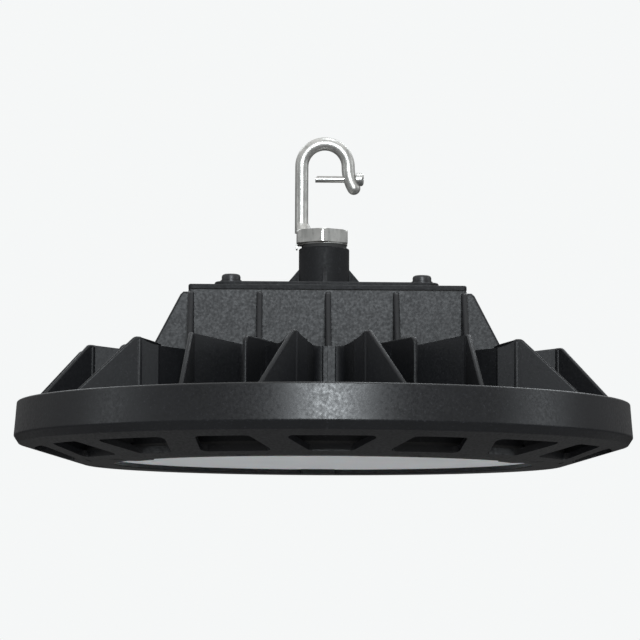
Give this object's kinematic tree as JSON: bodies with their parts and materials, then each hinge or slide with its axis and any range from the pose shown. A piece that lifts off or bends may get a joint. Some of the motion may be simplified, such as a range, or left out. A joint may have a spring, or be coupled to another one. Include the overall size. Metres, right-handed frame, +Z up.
{
  "type": "high bay light",
  "caption": "Round black LED high bay light with a finned heat sink, a square driver housing on top, a vented outer ring and a galvanised suspension hook.",
  "frame": {"origin": "centre of the bezel's underside, the lowest face, on the fixture's axis", "axes": "+Z up along the fixture's axis to the hook, -Y to the picture's front, X across"},
  "size_m": [0.3298, 0.3298, 0.1786],
  "materials": {
    "black_casting": "fine-textured black powder coat",
    "black_rubber": "matt",
    "black_steel": "black-coated steel",
    "zinc_hook": "galvanised, slightly grainy",
    "plated_steel": "zinc plated",
    "milky_plastic": "milky, diffusing polycarbonate",
    "board": "white solder mask",
    "pad": "grey heat-conducting pad",
    "led": "yellow phosphor",
    "white_plastic": "moulded",
    "black_lead": "insulation",
    "earth_lead": "green and yellow insulation",
    "driver_case": "grey painted case",
    "black_plastic": "moulded polyamide"
  },
  "bodies": {
    "root": {"vent_ring": "black_casting", "heat_sink": "black_casting", "driver_housing": "black_casting", "housing_cover": "black_casting", "cover_gasket": "black_rubber", "cover_screws": "black_steel", "cover_washers": "black_steel", "suspension_hook": "zinc_hook", "hook_lock_screw": "plated_steel", "hook_tab_washer": "plated_steel", "hook_gasket": "black_rubber", "stem_set_screw": "black_steel", "lens": "milky_plastic", "lens_gasket": "black_rubber", "ring_screws": "black_steel", "led_board": "board", "thermal_pad": "pad", "led_packages": "led", "board_screws": "plated_steel", "board_terminal": "white_plastic", "lead_grommet": "black_rubber", "output_lead": "black_lead", "led_driver": "driver_case", "driver_pad": "pad", "driver_screws": "plated_steel", "terminal_block": "white_plastic", "supply_leads": "black_lead", "earth_lead": "earth_lead", "earth_screw": "plated_steel", "cable_gland": "black_plastic", "gland_seal": "black_rubber", "gland_nut": "black_plastic", "gland_locknut": "black_plastic", "breather_plug": "black_plastic", "breather_ring": "black_rubber", "breather_nut": "black_plastic"}
  },
  "joints": []
}
